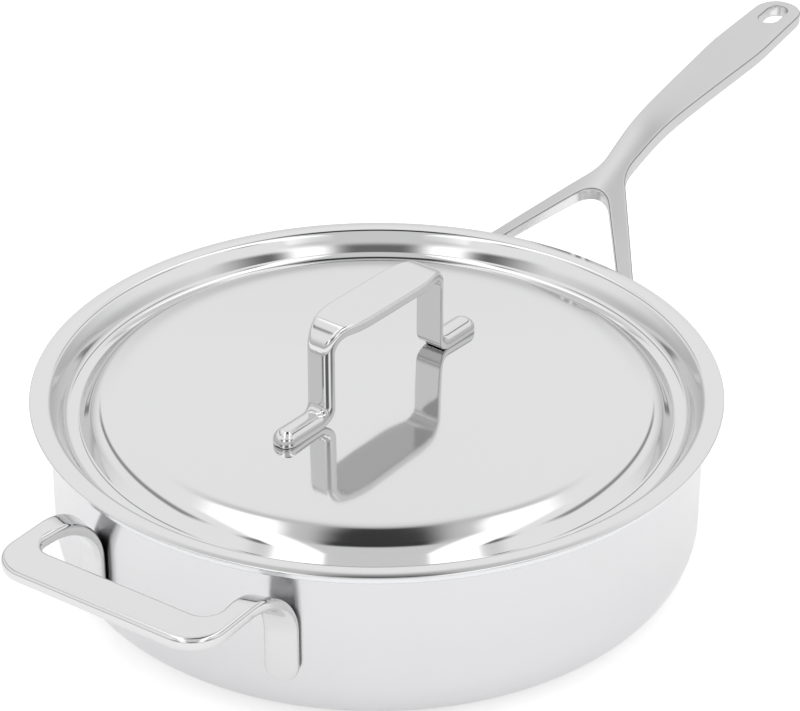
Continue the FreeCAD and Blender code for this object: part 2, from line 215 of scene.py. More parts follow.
def mesh_object(name: str, grids: Sequence[Array]) -> bpy.types.Object:
    """One closed object from grids of points that meet along shared edges.

    Each grid cell is a face. Points that meet are merged, which also closes poles and
    seams, and all faces are turned outwards.

    Args:
        name: Name of the piece.
        grids: Arrays of points in millimetres, rows by columns by three.

    Returns:
        The object, linked to the scene.
    """
    points, faces, first = [], [], 0
    for grid in grids:
        rows, columns = grid.shape[:2]
        index = first + np.arange(rows * columns).reshape(rows, columns)
        cells = [index[:-1, :-1], index[1:, :-1], index[1:, 1:], index[:-1, 1:]]
        faces.append(np.stack(cells, axis=-1).reshape(-1, 4))
        points.append(grid.reshape(-1, 3) * METRE)
        first += rows * columns
    mesh = bpy.data.meshes.new(name)
    mesh.from_pydata(np.concatenate(points).tolist(), [], np.concatenate(faces).tolist())
    form = bmesh.new()
    form.from_mesh(mesh)
    bmesh.ops.remove_doubles(form, verts=form.verts, dist=MERGE_DISTANCE * METRE)
    bmesh.ops.recalc_face_normals(form, faces=form.faces)
    form.to_mesh(mesh)
    form.free()
    set_even_normals(mesh)
    piece = bpy.data.objects.new(name, mesh)
    bpy.context.scene.collection.objects.link(piece)
    return piece


@dataclass(frozen=True)
class Curve:
    """Closely spaced path in a plane with its inward normals and running length."""

    points: Array
    normals: Array
    lengths: Array

    @classmethod
    def through(cls, path: Array, inward: int, spacing: float = 0.05) -> "Curve":
        """Curve along a path, with even spacing.

        Args:
            path: Points of the path.
            inward: 1 where the plate lies to the left of the path, -1 to the right.
            spacing: Distance between the curve's points.

        Returns:
            The curve, square to the first axis where it meets it.
        """
        steps = np.linalg.norm(np.diff(path, axis=0), axis=1)
        run = np.concatenate([[0], np.cumsum(steps)])
        even = np.linspace(0, run[-1], math.ceil(run[-1] / spacing) + 1)
        points = np.stack([np.interp(even, run, path[:, k]) for k in range(2)], axis=1)
        tangent = unit(np.gradient(points, axis=0))
        normals = inward * np.stack([-tangent[:, 1], tangent[:, 0]], axis=1)
        normals[np.abs(points[:, 1]) < ON_AXIS, 1] = 0
        return cls(points, unit(normals), even)

    def length(self) -> float:
        """Whole length of the curve."""
        return float(self.lengths[-1])

    def sample(self, start: float, end: float, count: int) -> tuple[Array, Array]:
        """Points and inward normals at even lengths between two lengths."""
        at = np.linspace(start, end, count)
        points, normals = (np.stack([np.interp(at, self.lengths, rows[:, k]) for k in range(2)], axis=1)
                           for rows in (self.points, self.normals))
        return points, unit(normals)


# Shader nodes

def grey(level: float) -> tuple:
    """Opaque grey of a level."""
    return (level, level, level, 1.0)


class NodeBench:
    """Adds nodes to a shader tree, each fed by other sockets or set on its own ones."""

    def __init__(self, tree: bpy.types.NodeTree) -> None:
        """Work on one node tree."""
        self.nodes, self.links = tree.nodes, tree.links

    def feed(self, socket: Socket, value: Feed) -> None:
        """Link a socket to another one, or set its own value."""
        if isinstance(value, bpy.types.NodeSocket):
            self.links.new(value, socket)
        else:
            socket.default_value = value

    def fill(self, node: bpy.types.Node, values: dict[str, Feed]) -> None:
        """Feed several inputs of a node by their names."""
        for name, value in values.items():
            self.feed(node.inputs[name], value)

    def place(self, kind: str) -> Socket:
        """Texture coordinates of a kind."""
        return self.nodes.new("ShaderNodeTexCoord").outputs[kind]

    def split(self, vector: Socket) -> Sequence[Socket]:
        """The three parts of a vector."""
        node = self.nodes.new("ShaderNodeSeparateXYZ")
        self.feed(node.inputs[0], vector)
        return node.outputs

    def math(self, operation: str, *values: Feed, kind: str = "ShaderNodeMath") -> Socket:
        """Number that a math node of a kind makes of its inputs."""
        node = self.nodes.new(kind)
        node.operation = operation
        for socket, value in zip(node.inputs, values):
            self.feed(socket, value)
        return node.outputs["Value"]

    def along(self, vector: Socket, axis: tuple) -> Socket:
        """Part of a vector along an axis."""
        return self.math("DOT_PRODUCT", vector, axis, kind="ShaderNodeVectorMath")

    def from_axis(self, x: Socket, y: Socket) -> Socket:
        """Distance from the Z axis, the root of the sum of both squares."""
        square = self.math("ADD", self.math("MULTIPLY", x, x), self.math("MULTIPLY", y, y))
        return self.math("SQRT", square)

    def ramp(self, value: Socket, start: float, end: float, first: float = 0.0, last: float = 1.0,
             smooth: bool = False) -> Socket:
        """Number that runs from a first to a last one between two values, and holds beyond them.

        Args:
            value: Socket that drives it.
            start: Value at which it is the first number.
            end: Value at which it is the last number, above or below the start.
            first: The first number.
            last: The last number.
            smooth: Whether it is eased at both ends.

        Returns:
            The number's socket.
        """
        node = self.nodes.new("ShaderNodeMapRange")
        node.interpolation_type = "SMOOTHSTEP" if smooth else "LINEAR"
        (least, low), (most, high) = sorted([(start, first), (end, last)])
        self.fill(node, {"Value": value, "From Min": least, "From Max": most, "To Min": low, "To Max": high})
        return node.outputs[0]

    def mix(self, share: Socket, first: Feed, second: Feed) -> Socket:
        """Mix of two numbers, or of two colours where the second is one."""
        node = self.nodes.new("ShaderNodeMix")
        node.data_type = "RGBA" if isinstance(second, tuple) else "FLOAT"
        self.fill(node, {"Factor": share, "A": first, "B": second})
        return node.outputs["Result"]

    def noise(self, vector: Socket, scale: float, detail: float, roughness: float) -> Socket:
        """Noise between 0 and 1 at a position."""
        node = self.nodes.new("ShaderNodeTexNoise")
        self.fill(node, {"Vector": vector, "Scale": scale, "Detail": detail, "Roughness": roughness})
        return node.outputs["Fac"]


# Steel finishes

# Scale, detail and roughness of both noises, and the part of their range that is used
STREAK_NOISE, CLOUD_NOISE, MARK_SPAN = (1.0, 5.0, 0.65), (22.0, 3.0, 0.5), (0.25, 0.75)
# Radius in metres inside which spun streaks no longer turn, and height of the streaks
LEAST_RADIUS, STREAK_HEIGHT = 0.0005, 0.02 * METRE
# Upward part of the normal where the painted dark edge line, the painted lighter sides and the side's polish start
# and are full
PAINTED_EDGE_LEVELS, PAINTED_SIDE_LEVELS, POLISH_LEVELS, POLISH = (0.86, 0.72), (0.58, 0.42), (0.75, 0.3), 0.6
# Depth in metres over which the painted contact shadow at the seat fades in, and its grey
PAINTED_SHADOW_FADE, PAINTED_SHADOW_GREY = 0.0008, 0.2
QUARTER_TURN = 0.25


class SteelGroups:
    """Shader node groups that several steel finishes share, each built once."""

    def __init__(self) -> None:
        """Build both groups."""
        self.groups = {grain: self.build(grain) for grain in Grain}

    def build(self, grain: Grain) -> bpy.types.ShaderNodeTree:
        """Group of fine streaks and slow clouding that follow a grain.

        Spun streaks read the direction from the axis and the sum of radius and height,
        so that they run in circles on flat and upright faces alike. Drawn streaks read
        the position, squeezed along X.

        Args:
            grain: Direction of the streaks.

        Returns:
            Group with Density and Length inputs and Streak and Cloud outputs.
        """
        tree = bpy.data.node_groups.new("steel_" + grain.name.lower(), "ShaderNodeTree")
        for name in ("Density", "Length"):
            tree.interface.new_socket(name, in_out="INPUT", socket_type="NodeSocketFloat")
        for name in ("Streak", "Cloud"):
            tree.interface.new_socket(name, in_out="OUTPUT", socket_type="NodeSocketFloat")
        bench = NodeBench(tree)
        source, sink = (tree.nodes.new(kind) for kind in ("NodeGroupInput", "NodeGroupOutput"))
        density, length = source.outputs["Density"], source.outputs["Length"]
        place = bench.place("Object")
        x, y, z = bench.split(place)
        if grain is Grain.SPUN:
            radius = bench.math("MAXIMUM", bench.from_axis(x, y), LEAST_RADIUS)
            around = [(bench.math("DIVIDE", part, radius), length) for part in (x, y)]
            parts = [*around, (bench.math("ADD", radius, z), density)]
        else:
            parts = [(x, length), (y, density), (z, density)]
        join = tree.nodes.new("ShaderNodeCombineXYZ")
        for socket, factors in zip(join.inputs, parts):
            bench.feed(socket, bench.math("MULTIPLY", *factors))
        bench.fill(sink, {"Streak": bench.noise(join.outputs[0], *STREAK_NOISE),
                          "Cloud": bench.noise(place, *CLOUD_NOISE)})
        return tree


@dataclass(frozen=True)
class SteelFinish:
    """Procedural finish of a bare metal face.

    Streaks and clouds move the roughness by so much either way, and the streaks also
    move the tint by the share of the shade and stand up by the relief. A painted side
    light above 0 polishes the upright faces and paints them in that lighter grey, a painted
    highlight, and a painted edge shade darkens the rounding that leads to them, a painted
    dark line. A seat radius above 0 darkens what lies within it, close to the wall, a
    painted contact shadow.
    """

    name: str
    slot: str
    tint: Colour
    roughness: float
    grain: Grain
    density: float = 3800.0
    length: float = 260.0
    streaks: float = 0.02
    clouds: float = 0.01
    shade: float = 0.01
    relief: float = 0.01
    anisotropy: float = 0.0
    painted_side_light: float = 0.0
    painted_edge_shade: float = 0.0
    seat_radius: float = 0.0

    def material(self, groups: SteelGroups) -> bpy.types.Material:
        """Material of the finish.

        Args:
            groups: Node groups that the finishes share.

        Returns:
            A node material on object coordinates.
        """
        found = bpy.data.materials.get(self.name)
        if found:
            return found
        material = bpy.data.materials.new(self.name)
        material.use_nodes = True
        bench = NodeBench(material.node_tree)
        marks = bench.nodes.new("ShaderNodeGroup")
        marks.node_tree = groups.groups[self.grain]
        bench.fill(marks, {"Density": self.density, "Length": self.length})
        streak, cloud = marks.outputs["Streak"], marks.outputs["Cloud"]
        fine = bench.ramp(streak, *MARK_SPAN, self.roughness - self.streaks, self.roughness + self.streaks)
        roughness = bench.math("ADD", fine, bench.ramp(cloud, *MARK_SPAN, -self.clouds, self.clouds))
        darker, lighter = ((*(c * share for c in self.tint), 1.0) for share in (1 - self.shade, 1 + self.shade))
        colour = bench.mix(streak, darker, lighter)
        # Painted light: upright faces are painted a lighter grey and their rounding a dark line, besides the real
        # polish of their roughness.
        if self.painted_side_light:
            level = bench.math("ABSOLUTE", bench.split(bench.place("Normal"))[2])
            for tint, levels in ((self.painted_edge_shade, PAINTED_EDGE_LEVELS), (self.painted_side_light, PAINTED_SIDE_LEVELS)):
                colour = bench.mix(bench.ramp(level, *levels), colour, grey(tint))
            roughness = bench.mix(bench.ramp(level, *POLISH_LEVELS), roughness, self.roughness * POLISH)
        # Painted shadow: a dark contact line is painted where the feet meet the wall.
        if self.seat_radius:
            away = bench.from_axis(*bench.split(bench.place("Object"))[:2])
            painted_shadow_share = bench.ramp(away, self.seat_radius, self.seat_radius - PAINTED_SHADOW_FADE)
            colour = bench.mix(painted_shadow_share, colour, grey(PAINTED_SHADOW_GREY))
        bump = bench.nodes.new("ShaderNodeBump")
        bench.fill(bump, {"Strength": self.relief, "Distance": STREAK_HEIGHT, "Height": streak})
        steel = bench.nodes["Principled BSDF"]
        bench.fill(steel, {"Metallic": 1.0, "Roughness": roughness, "Base Color": colour, "Normal": bump.outputs[0],
                           "Anisotropic": self.anisotropy, "Anisotropic Rotation": QUARTER_TURN})
        if self.anisotropy:
            tangent = bench.nodes.new("ShaderNodeTangent")
            tangent.direction_type, tangent.axis = "RADIAL", "Z"
            bench.feed(steel.inputs["Tangent"], tangent.outputs[0])
        return material


WALL_STEEL = SteelFinish(
    "wall_brushed_round", "wall_steel", (0.712, 0.712, 0.722), 0.25, Grain.SPUN,
    density=5200.0, length=7.0, shade=0.012, relief=0.03, anisotropy=0.6)
COOKING_STEEL = SteelFinish(
    "cooking_face_brushed", "cooking_steel", (0.70, 0.70, 0.71), 0.22, Grain.SPUN,
    density=4200.0, length=7.0, streaks=0.03, clouds=0.02, shade=0.02, relief=0.05, anisotropy=0.5)
CORE_ALUMINIUM = SteelFinish(
    "core_aluminium_edge", "core_aluminium", (0.78, 0.79, 0.80), 0.34, Grain.SPUN,
    density=3000.0, length=5.0, streaks=0.06, clouds=0.02, shade=0.06, relief=0.10)
# The long handle's sides are painted lighter and their rounded edges painted dark.
FORK_STEEL = SteelFinish(
    "long_handle_satin", "handle_steel", (0.668, 0.668, 0.668), 0.38, Grain.DRAWN,
    streaks=0.03, clouds=0.03, shade=0.02, relief=0.03, painted_side_light=0.81, painted_edge_shade=0.22)
# The loop handle gets a painted contact shadow where its feet meet the wall.
LOOP_STEEL = SteelFinish(
    "helper_handle_polished", "handle_steel", (0.70, 0.70, 0.70), 0.10, Grain.DRAWN,
    clouds=0.015, shade=0.02, relief=0.02, seat_radius=0.1454)
LID_STEEL = SteelFinish(
    "lid_polished", "lid_steel", (0.70, 0.70, 0.705), 0.07, Grain.SPUN,
    density=4600.0, length=6.0, streaks=0.015)
BRIDGE_STEEL = SteelFinish(
    "lid_handle_mirror", "lid_handle_steel", (0.69, 0.69, 0.69), 0.06, Grain.DRAWN,
    density=2600.0, length=300.0, streaks=0.012, clouds=0.012)
WELD_STEEL = SteelFinish(
    "weld_nugget", "weld_steel", (0.50, 0.49, 0.48), 0.42, Grain.DRAWN,
    density=1500.0, length=1500.0, streaks=0.08, clouds=0.04, shade=0.12, relief=0.3)


def dress(piece: bpy.types.Object, finish: SteelFinish, groups: SteelGroups) -> None:
    """Give a piece one finish as its only material."""
    piece.data.materials.clear()
    piece.data.materials.append(finish.material(groups))


def place(piece: bpy.types.Object, body: Body, node: str, finish: SteelFinish, groups: SteelGroups) -> None:
    """Dress a new piece and let it stand for a frame node.

    Args:
        piece: The new piece.
        body: Body that it moves with.
        node: Frame node that it stands for.
        finish: Finish of its faces.
        groups: Node groups that the finishes share.
    """
    dress(piece, finish, groups)
    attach(piece, body.value)
    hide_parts(node)
    LOG.info("%s stands for %s, %d faces", piece.name, node, len(piece.data.polygons))


class Piece:
    """One visual piece that stands for a frame node of a body and has one finish."""

    name: ClassVar[str]
    node: ClassVar[str]
    body: ClassVar[Body]
    finish: ClassVar[SteelFinish]

    def grids(self) -> list[Array]:
        """Faces of the piece as grids of points."""
        raise NotImplementedError

    def build(self, groups: SteelGroups) -> None:
        """Make the piece and dress it."""
        place(mesh_object(self.name, self.grids()), self.body, self.node, self.finish, groups)


# Pan body

@dataclass
class PanBody:
    """Three bonded plies, drawn on the cooking face."""

    inner_radius: float = 140.0
    depth: float = 78.0
    wall: float = 3.0
    base_corner: float = 19.5
    flare: float = 5.5
    lip_radius: float = 149.2
    steel: float = 0.6
    edge_round: float = 0.55
    keen: float = 0.02
    steps: int = 300

    def build(self, groups: SteelGroups) -> None:
        """Make the three plies and dress them."""
        rim = self.wall + self.depth
        path = np.array([(0, self.wall), (self.inner_radius, self.wall), (self.inner_radius, rim),
                         (self.lip_radius, rim)], float)
        core = self.wall - 2 * self.steel
        plies = [
            ("pan_cooking_face", "cooking_surface", COOKING_STEEL, 0.0, self.steel, (self.edge_round, self.keen)),
            ("pan_core_layer", "aluminium_core", CORE_ALUMINIUM, self.steel, core, (self.keen, self.keen)),
            ("pan_outer_wall", "outer_shell", WALL_STEEL, self.wall - self.steel, self.steel,
             (self.keen, self.edge_round)),
        ]
        for name, node, finish, start, thickness, edges in plies:
            profile = sheet_profile(path, [self.base_corner, self.flare], start, thickness, edges)
            place(mesh_object(name, [spin(profile, self.steps)]), Body.PAN, node, finish, groups)


# Bent plate handles

@dataclass
class BentPlate(Piece):
    """Plate that follows a curved face, the same on both sides of the XZ plane.

    Its outline is drawn in the plan of that face, and its edges are rounded: at angle t
    of the rounding the outline is inset by radius times (1 - sin t) and sunk by radius
    times (1 - cos t).
    """

    edge_round: float = 1.0
    seat_radius: float = 143.3
    rounds: int = 5
    across: int = 9

    def top(self, plan: Array) -> Array:
        """Points of the upper face over points of the plan."""
        raise NotImplementedError

    def depth(self, plan: Array) -> Array:
        """Thickness of the plate at points of the plan."""
        raise NotImplementedError

    def across_plate(self, plan: Array) -> Array:
        """Direction from the upper face into the plate.

        It is against the face's normal, the cross product of the face's changes along
        both plan axes.

        Args:
            plan: Points of the plan.

        Returns:
            One unit vector for each point.
        """
        step = 0.01
        along, sideways = np.array([step, 0]), np.array([0, step])
        change = self.top(plan + along) - self.top(plan - along)
        other = self.top(plan + sideways) - self.top(plan - sideways)
        return -unit(np.cross(change, other))

    def sunk(self, plan: Array, depth: Array) -> Array:
        """Upper face moved into the plate by a depth, kept on the middle plane where the plan is."""
        points = self.top(plan) + self.across_plate(plan) * depth[..., None]
        points[..., 1] = np.where(plan[..., 1] == 0, 0, points[..., 1])
        return points

    def rim(self, outline: Array, inward: Array) -> Array:
        """Rounded edge along an outline, from the upper face round to the lower one."""
        angle = np.linspace(0, np.pi / 2, self.rounds + 1)
        inset = self.edge_round * (1 - np.sin(angle))
        drop = self.edge_round * (1 - np.cos(angle))
        inset = np.concatenate([inset, inset[::-1]])
        plan = outline[:, None] + inward[:, None] * inset[None, :, None]
        thickness = self.depth(plan)
        fall = np.concatenate([drop, -drop[::-1]])[None]
        low = np.concatenate([np.zeros_like(drop), np.ones_like(drop)])[None]
        return self.sunk(plan, low * thickness + fall)

    def faces(self, inner: Array, outer: Array) -> list[Array]:
        """Upper and lower face between an inner and an outer plan curve of equal count."""
        share = np.linspace(0, 1, self.across)[None, :, None]
        plan = outer[:, None] * (1 - share) + inner[:, None] * share
        thickness = self.depth(plan)
        return [self.sunk(plan, 0 * thickness), self.sunk(plan, thickness)]

    def inset(self, sampled: tuple[Array, Array]) -> Array:
        """Outline moved inwards by the edge rounding."""
        return sampled[0] + sampled[1] * self.edge_round


@dataclass
class LongHandle(BentPlate):
    """Forged handle: a grip with a hanging slot, a neck, a fork and two feet.

    The upper face has two slopes joined by a hyperbola, along lines that fan out from
    the grip to the feet. Near the wall each leg bends down in an arc and runs on
    upright.
    """

    name, node, body, finish = "fork_handle", "long_handle", Body.PAN, FORK_STEEL
    reach: float = 370.5
    tip_half: float = 12.0
    tip_round: float = 11.4
    grip_reach: float = 318.0
    grip_half: float = 13.8
    grip_round: float = 150.0
    neck_reach: float = 204.0
    neck_half: float = 7.0
    neck_round: float = 20.0
    leg_spread: float = 48.0
    leg_width: float = 6.8
    leg_angle: float = 36.0
    crotch_angle: float = 38.0
    crotch_round: float = 12.0
    slot_near: float = 346.0
    slot_far: float = 365.0
    slot_half: float = 5.25
    leg_rise: float = 22.1
    grip_rise: float = 5.0
    bend_reach: float = 227.0
    bend_height: float = 118.48
    bend_ease: float = 13.8
    fan_share: float = 0.68
    fan_ease: float = 8.0
    neck_thickness: float = 7.0
    tip_thickness: float = 6.0
    foot_thickness: float = 4.6
    foot_bottom: float = 26.0
    root_bend: float = 9.0
    root_settle: float = 12.0
    slope_probe: float = 6.0
    heel_round: float = 7.0
    neck_lead: float = 12.0
    tip_run: float = 9.0
    counts: tuple = (14, 44, 80, 130)

    def __post_init__(self) -> None:
        """Work out the frame of a foot: its direction from the axis and the leg's slope."""
        angle = math.asin(self.leg_spread / self.seat_radius)
        self.out = np.array([math.cos(angle), math.sin(angle)])
        self.side = np.array([-math.sin(angle), math.cos(angle)])
        near, far = (self.height(self.out * (self.seat_radius + d)) for d in (self.slope_probe, self.slope_probe + 1))
        self.slope = math.atan(float(far - near))
        self.root = self.seat_radius + self.root_bend * (1 - math.sin(self.slope))
        self.root_height = float(self.height(self.out * self.root))
        self.arc = self.root_bend * (math.pi / 2 - self.slope)
        self.half_foot = self.leg_width / 2 / math.cos(math.radians(self.leg_angle) + angle)
        drop = self.root_height - self.root_bend * math.cos(self.slope) - self.foot_bottom
        self.foot_end = self.root - (self.arc + drop) * math.cos(self.slope)

    def height(self, plan: Array) -> Array:
        """Height of the upper face before the legs bend down to the wall."""
        x, y = plan[..., 0], plan[..., 1]
        along = x - self.fan_share * (np.hypot(y, self.fan_ease) - self.fan_ease) - self.bend_reach
        leg, grip = math.tan(math.radians(self.leg_rise)), math.tan(math.radians(self.grip_rise))
        bend = np.hypot(along, self.bend_ease)
        return self.bend_height + (leg + grip) / 2 * along - (leg - grip) / 2 * bend

    def root_start(self, plan: Array) -> Array:
        """Distance from the axis, along the foot's direction, at which a leg starts to bend down."""
        lateral = plan @ self.side
        return np.sqrt(np.maximum(self.seat_radius**2 - lateral**2, 0)) + self.root - self.seat_radius

    def past_root(self, plan: Array) -> Array:
        """Length along the face from the start of the root bend, 0 before it."""
        return np.maximum(self.root_start(plan) - plan @ self.out, 0) / math.cos(self.slope)

    def across_plate(self, plan: Array) -> Array:
        """Straight down on the plate, turning to the face's own normal over the root bend."""
        down = np.array([0, 0, -1.0])
        share = smooth_step(self.past_root(plan) / self.arc)[..., None]
        return unit(down + share * (super().across_plate(plan) - down))

    def top(self, plan: Array) -> Array:
        """Points of the upper face, bent down where the plan runs in past the wall."""
        away, lateral = plan @ self.out, plan @ self.side
        start, run = self.root_start(plan), self.past_root(plan)
        turn = self.slope + np.minimum(run, self.arc) / self.root_bend
        bent = start - self.root_bend * (np.sin(turn) - math.sin(self.slope))
        reach = np.where(run > 0, bent, away)[..., None]
        flat = reach * self.out + lateral[..., None] * self.side
        edge = np.maximum(start, away)[..., None] * self.out + lateral[..., None] * self.side
        level = self.height(edge)
        level = level + (self.root_height - level) * smooth_step(run / (self.arc + self.root_settle))
        fall = self.root_bend * (math.cos(self.slope) - np.cos(turn)) + np.maximum(run - self.arc, 0)
        return np.concatenate([flat, (level - fall)[..., None]], axis=-1)

    def depth(self, plan: Array) -> Array:
        """Thickness, which is greatest at the neck and thins to the feet and the tip."""
        x = np.maximum(plan[..., 0], self.seat_radius)
        to_foot = (self.neck_reach - x) / (self.neck_reach - self.seat_radius)
        to_tip = (x - self.neck_reach) / (self.reach - self.neck_reach)
        thin = np.where(x < self.neck_reach, to_foot * (self.neck_thickness - self.foot_thickness),
                        to_tip * (self.neck_thickness - self.tip_thickness))
        return self.neck_thickness - thin

    def foot_path(self, side: int) -> list[Array]:
        """Corners of a foot's outline, down its edge and to the middle of its round end."""
        edge = side * self.half_foot * self.side
        bottom = self.foot_end * self.out
        return [self.seat_radius * self.out + edge, bottom + edge, bottom]

    def outlines(self) -> tuple[Curve, Curve, Curve]:
        """Outer edge, crotch and inner edge, and hanging slot of the half with Y above 0."""
        wall = self.seat_radius * self.out
        angle = math.radians(self.leg_angle)
        across = np.array([math.sin(angle), math.cos(angle)]) * self.leg_width / 2
        leg = np.array([math.cos(angle), -math.sin(angle)])
        grip = np.array([self.grip_reach, self.grip_half])
        swell = grip - np.array([self.neck_reach, self.neck_half])
        share = np.linalg.solve(np.stack([leg, -swell], axis=1), grip - wall - across)[0]
        neck = wall + across + share * leg
        foot_rounds = [self.heel_round, self.half_foot - END_SLACK]
        outer = rounded_path([(self.reach, 0), (self.reach, self.tip_half), grip, neck, *self.foot_path(1)],
                             [self.tip_round, self.grip_round, self.neck_round, *foot_rounds], FINE_STEP)
        turn = math.radians(self.crotch_angle)
        inner_foot = wall - across
        apex = inner_foot[0] + inner_foot[1] / math.tan(turn)
        apex -= self.crotch_round / math.sin(turn) - self.crotch_round
        height = self.crotch_round * math.tan((math.pi / 2 - turn) / 2)
        inner = rounded_path([(apex, 0), (apex, height), *self.foot_path(-1)],
                             [self.crotch_round - END_SLACK, *foot_rounds], FINE_STEP)
        slot = rounded_path([(self.slot_far, 0), (self.slot_far, self.slot_half),
                             (self.slot_near, self.slot_half), (self.slot_near, 0)],
                            [self.slot_half - END_SLACK] * 2, FINE_STEP)
        return Curve.through(outer, 1), Curve.through(inner, -1), Curve.through(slot, -1)

    def grids(self) -> list[Array]:
        """Faces and rounded edges of the whole handle."""
        outer, inner, slot = self.outlines()
        near_slot = float(outer.lengths[np.argmax(outer.points[:, 0] < self.slot_near)])
        at_neck = float(outer.lengths[np.argmax(outer.points[:, 0] < inner.points[0, 0] + self.neck_lead)])
        tip, hole_run, grip, fork = self.counts
        cuts = [0, self.tip_run, near_slot, at_neck, outer.length()]
        edge = [outer.sample(*cut) for cut in zip(cuts, cuts[1:], self.counts)]
        hole = slot.sample(0, slot.length(), hole_run)
        leg = inner.sample(0, inner.length(), fork)
        inset = self.edge_round
        middle = [
            np.linspace((self.reach - inset, 0), (self.slot_far + inset, 0), tip),
            self.inset(hole),
            np.linspace((self.slot_near - inset, 0), (leg[0][0, 0] + inset, 0), grip),
            self.inset(leg),
        ]
        half = [self.rim(*part) for part in [*edge, hole, leg]]
        for part, line in zip(edge, middle):
            half += self.faces(line, self.inset(part))
        return mirrored(half, 1)


@dataclass
class HelperHandle(BentPlate):
    """Loop handle opposite the long one: a cross bar, two arms and two feet.

    The upper face is level, then bends down in an arc about the pan's axis and runs on
    upright along the wall. The plan gives the unrolled distance from the axis and Y.
    """

    name, node, body, finish = "loop_handle", "helper_handle", Body.PAN, LOOP_STEEL
    edge_round: float = 2.0
    top_height: float = 77.5
    bend: float = 28.0
    reach: float = 196.5
    bar_width: float = 18.5
    half_width: float = 55.0
    arm_width: float = 9.5
    outer_corner: float = 16.5
    inner_corner: float = 8.0
    foot_spread: float = 48.0
    foot_half: float = 6.65
    foot_bottom: float = 26.0
    bar_thickness: float = 5.6
    foot_thickness: float = 4.6
    arm_points: int = 400
    edge_points: int = 220

    def __post_init__(self) -> None:
        """Work out where the bend starts and how far the unrolled plan reaches."""
        self.level = self.seat_radius + self.bend
        self.arc = self.bend * math.pi / 2
        self.foot_end = self.level - self.arc - (self.top_height - self.bend - self.foot_bottom)

    def top(self, plan: Array) -> Array:
        """Points of the upper face: level, an arc of the bend radius, then upright."""
        run = np.maximum(self.level - plan[..., 0], 0)
        turn = np.minimum(run, self.arc) / self.bend
        radius = np.where(run > 0, self.level - self.bend * np.sin(turn), plan[..., 0])
        fall = self.bend * (1 - np.cos(turn)) + np.maximum(run - self.arc, 0)
        y = plan[..., 1]
        return np.stack([np.sqrt(radius**2 - y**2), y, self.top_height - fall], axis=-1)

    def depth(self, plan: Array) -> Array:
        """Thickness, a little greater on the bar than on the feet."""
        share = smooth_step((self.level - plan[..., 0]) / self.arc)
        return self.bar_thickness + share * (self.foot_thickness - self.bar_thickness)

    def unrolled(self, path: Array) -> Array:
        """Plan path with its distance from the axis measured along the bent face."""
        radius = np.hypot(path[:, 0], path[:, 1])
        run = self.bend * np.arcsin(np.clip((self.level - radius) / self.bend, 0, 1))
        return np.stack([np.where(radius < self.level, self.level - run, radius), path[:, 1]], axis=1)

    def outline(self, reach: float, half: float, corner: float, side: int) -> Curve:
        """Half an edge of the loop, from the middle of the bar to the end of a foot.

        Args:
            reach: Distance of the bar's edge from the axis.
            half: Distance of the corner from the middle.
            corner: Radius of the corner.
            side: 1 for the outer edge, -1 for the inner one.

        Returns:
            The edge in the unrolled plan, with closer points where the arm nears the foot.
        """
        foot_y = self.foot_spread + side * self.foot_half
        foot_x = math.sqrt(self.seat_radius**2 - foot_y**2)
        bar = rounded_path([(reach, 0), (reach, half), (foot_x, foot_y)], [corner], FINE_STEP)
        run = np.sqrt(np.linspace(0, 1, self.arm_points)[1:, None])
        level = Curve.through(bar[:-1], side).points
        arm = self.unrolled(np.concatenate([level, bar[-2] + run * (bar[-1] - bar[-2])]))
        foot = rounded_path([(arm[-1, 0], foot_y), (self.foot_end, foot_y), (self.foot_end, self.foot_spread)],
                            [self.foot_half - END_SLACK], FINE_STEP)
        return Curve.through(np.concatenate([arm, foot[1:]]), side)

    def grids(self) -> list[Array]:
        """Faces and rounded edges of the whole loop, turned to the back of the pan."""
        outer = self.outline(self.reach, self.half_width, self.outer_corner, 1)
        inner = self.outline(self.reach - self.bar_width, self.half_width - self.arm_width,
                             self.inner_corner, -1)
        edges = [curve.sample(0, curve.length(), self.edge_points) for curve in (outer, inner)]
        half = [self.rim(*edge) for edge in edges]
        half += self.faces(self.inset(edges[1]), self.inset(edges[0]))
        return [turned(grid, 180) for grid in mirrored(half, 1)]


# Lid

@dataclass
class Lid(Piece):
    """Pressed lid: a flange on the pan's lip, a locating groove, a shoulder and a centre."""

    name, node, body, finish = "lid_pressing", "lid_shell", Body.LID, LID_STEEL
    sheet: float = 1.0
    radii: tuple = (0.0, 56.0, 113.0, 123.4, 129.9, 136.1, 139.2, 142.6, 146.8, 151.3)
    heights: tuple = (82.2, 82.2, 79.8, 78.0, 71.9, 71.9, 77.9, 82.45, 82.75, 82.4)
    rounds: tuple = (2400.0, 50.0, 11.0, 3.0, 4.0, 24.0, 3.0, 30.0)
    edge_round: float = 0.45
    arc_step: float = 3.0
    steps: int = 360

    def grids(self) -> list[Array]:
        """Side profile turned once about the axis."""
        path = np.stack([np.array(self.radii), np.array(self.heights)], axis=1)
        edges = (self.edge_round, self.edge_round)
        profile = sheet_profile(path, self.rounds, 0, self.sheet, edges, self.arc_step)
        return [spin(profile, self.steps)]


